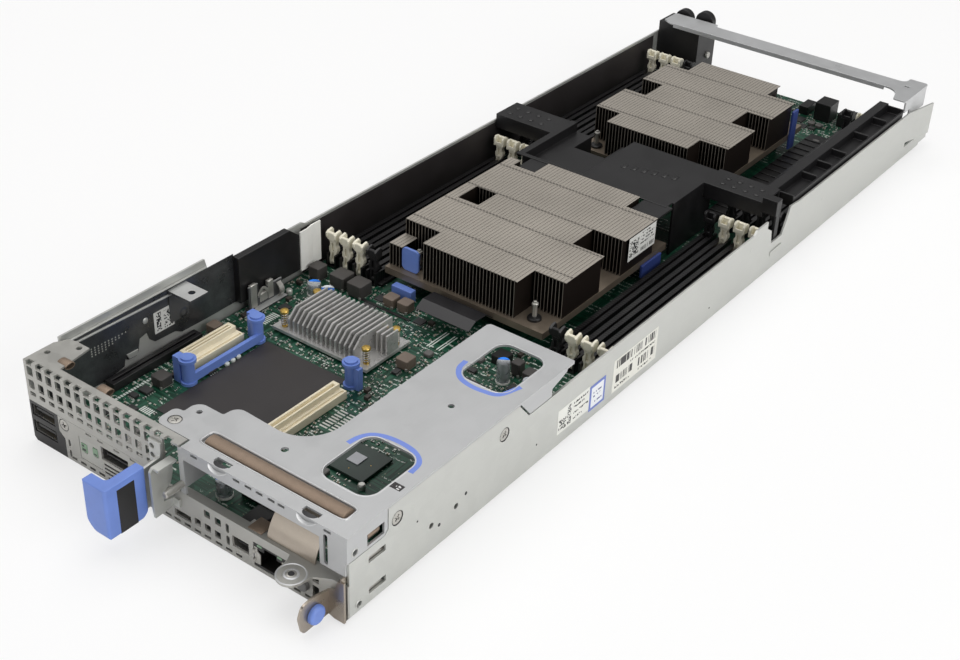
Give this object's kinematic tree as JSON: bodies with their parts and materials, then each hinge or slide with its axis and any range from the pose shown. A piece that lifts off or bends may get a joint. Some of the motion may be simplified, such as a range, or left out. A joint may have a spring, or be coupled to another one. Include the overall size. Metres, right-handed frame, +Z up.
{
  "type": "multi-node rack server sled",
  "caption": "Half-width server node on a slide-in sheet-metal sled: port panel, card bay, heat sinks, memory sockets, air shroud, pull handle.",
  "frame": {"origin": "underside of the sled, at the middle of its width, in the plane of the port panel", "axes": "+X right seen from the port panel, +Y from the port panel to the far end, +Z up"},
  "size_m": [0.1792, 0.554, 0.045],
  "materials": {
    "zinc_steel": "bright zinc-coated sheet steel",
    "cover_steel": "smooth pale zinc-coated sheet",
    "black_plastic": "matt black moulded plastic",
    "socket_metal": "tinned socket shell",
    "beige_plastic": "beige connector plastic",
    "grey_plastic": "grey moulded plastic",
    "gasket_weave": "metallised fabric over a soft core",
    "spring_bronze": "thin bronze spring strip",
    "blank_nickel": "nickel-plated spring steel",
    "board_green": "green solder mask over laminate",
    "blue_plastic": "blue moulded plastic for touch points",
    "bright_steel": "plated steel hardware",
    "black_film": "thin black polyester film",
    "sink_aluminium": "plain aluminium",
    "brass_pin": "plain brass",
    "can_aluminium": "aluminium can",
    "coil_black": "moulded dark ferrite",
    "coil_tan": "moulded tan ferrite",
    "chip_black": "dark moulded package",
    "plated_copper": "nickel-plated copper lid",
    "white_plastic": "off-white moulded plastic"
  },
  "bodies": {
    "sled": {"bay_cover": "cover_steel", "bezel_ports": "socket_metal", "board_capacitors": "can_aluminium", "board_connectors": "black_plastic", "board_standoffs": "bright_steel", "cable_cover": "black_plastic", "card_guides": "blue_plastic", "chipset_base": "sink_aluminium", "chipset_fins": "sink_aluminium", "contact_clips": "spring_bronze", "crossbar": "zinc_steel", "dark_inductors": "coil_black", "end_block": "black_plastic", "gasket": "gasket_weave", "guide_pin": "bright_steel", "handle_arm": "zinc_steel", "handle_bracket": "zinc_steel", "handle_grip": "blue_plastic", "handle_label": "black_plastic", "insulating_sheet": "black_film", "io_panel": "zinc_steel", "lamp_block": "beige_plastic", "lower_left_faceplate": "zinc_steel", "management_chip": "chip_black", "memory_sockets": "black_plastic", "mezzanine_connectors": "beige_plastic", "network_jack": "black_plastic", "port_bezel": "black_plastic", "processor_sockets": "black_plastic", "processors": "plated_copper", "pull_tab": "black_film", "push_pins": "brass_pin", "riser_card": "board_green", "screws": "bright_steel", "side_baffle": "black_plastic", "sink_bases": "sink_aluminium", "sink_clips": "blue_plastic", "sink_one_fins": "sink_aluminium", "sink_screws": "bright_steel", "sink_two_fins": "sink_aluminium", "slot_blank": "blank_nickel", "small_sockets": "socket_metal", "system_board": "board_green", "tan_inductors": "coil_tan", "tray": "zinc_steel", "vent_panel": "zinc_steel", "wall_brackets": "zinc_steel", "white_strap": "white_plastic"},
    "release_latch": {"release_latch": "blank_nickel", "release_button": "blue_plastic"},
    "power_button": {"power_button": "grey_plastic"},
    "air_shroud": {"air_shroud": "black_plastic"},
    "latches_left_one": {"latches_left_one": "white_plastic"},
    "latches_left_two": {"latches_left_two": "white_plastic"},
    "latches_left_three": {"latches_left_three": "white_plastic"},
    "latches_left_four": {"latches_left_four": "white_plastic"},
    "latches_right_one": {"latches_right_one": "white_plastic"},
    "latches_right_two": {"latches_right_two": "white_plastic"},
    "latches_right_three": {"latches_right_three": "white_plastic"},
    "latches_right_four": {"latches_right_four": "white_plastic"}
  },
  "joints": [
    {"name": "release_latch_flex", "type": "hinge", "parent": "sled", "child": "release_latch", "pos_m": [0.0855, 0.062, 0.0199], "axis": [0, 0, 1], "range_deg": [-2.2, 0], "stiffness_Nm_per_rad": 6},
    {"name": "power_button_press", "type": "slide", "parent": "sled", "child": "power_button", "axis": [0, 1, 0], "range_m": [0, 0.0008], "stiffness_N_per_m": 600, "springref_m": -0.0004},
    {"name": "air_shroud_lift", "type": "slide", "parent": "sled", "child": "air_shroud", "axis": [0, 0, 1], "range_m": [0, 0.06]},
    {"name": "left_latches_one_tilt", "type": "hinge", "parent": "sled", "child": "latches_left_one", "pos_m": [0, 0.1793, 0.009], "axis": [1, 0, 0], "range_deg": [0, 25]},
    {"name": "left_latches_two_tilt", "type": "hinge", "parent": "sled", "child": "latches_left_two", "pos_m": [0, 0.3173, 0.009], "axis": [-1, 0, 0], "range_deg": [0, 12]},
    {"name": "left_latches_three_tilt", "type": "hinge", "parent": "sled", "child": "latches_left_three", "pos_m": [0, 0.3403, 0.009], "axis": [1, 0, 0], "range_deg": [0, 12]},
    {"name": "left_latches_four_tilt", "type": "hinge", "parent": "sled", "child": "latches_left_four", "pos_m": [0, 0.4783, 0.009], "axis": [-1, 0, 0], "range_deg": [0, 25]},
    {"name": "right_latches_one_tilt", "type": "hinge", "parent": "sled", "child": "latches_right_one", "pos_m": [0, 0.1793, 0.009], "axis": [1, 0, 0], "range_deg": [0, 25]},
    {"name": "right_latches_two_tilt", "type": "hinge", "parent": "sled", "child": "latches_right_two", "pos_m": [0, 0.3173, 0.009], "axis": [-1, 0, 0], "range_deg": [0, 12]},
    {"name": "right_latches_three_tilt", "type": "hinge", "parent": "sled", "child": "latches_right_three", "pos_m": [0, 0.3403, 0.009], "axis": [1, 0, 0], "range_deg": [0, 12]},
    {"name": "right_latches_four_tilt", "type": "hinge", "parent": "sled", "child": "latches_right_four", "pos_m": [0, 0.4783, 0.009], "axis": [-1, 0, 0], "range_deg": [0, 25]}
  ]
}
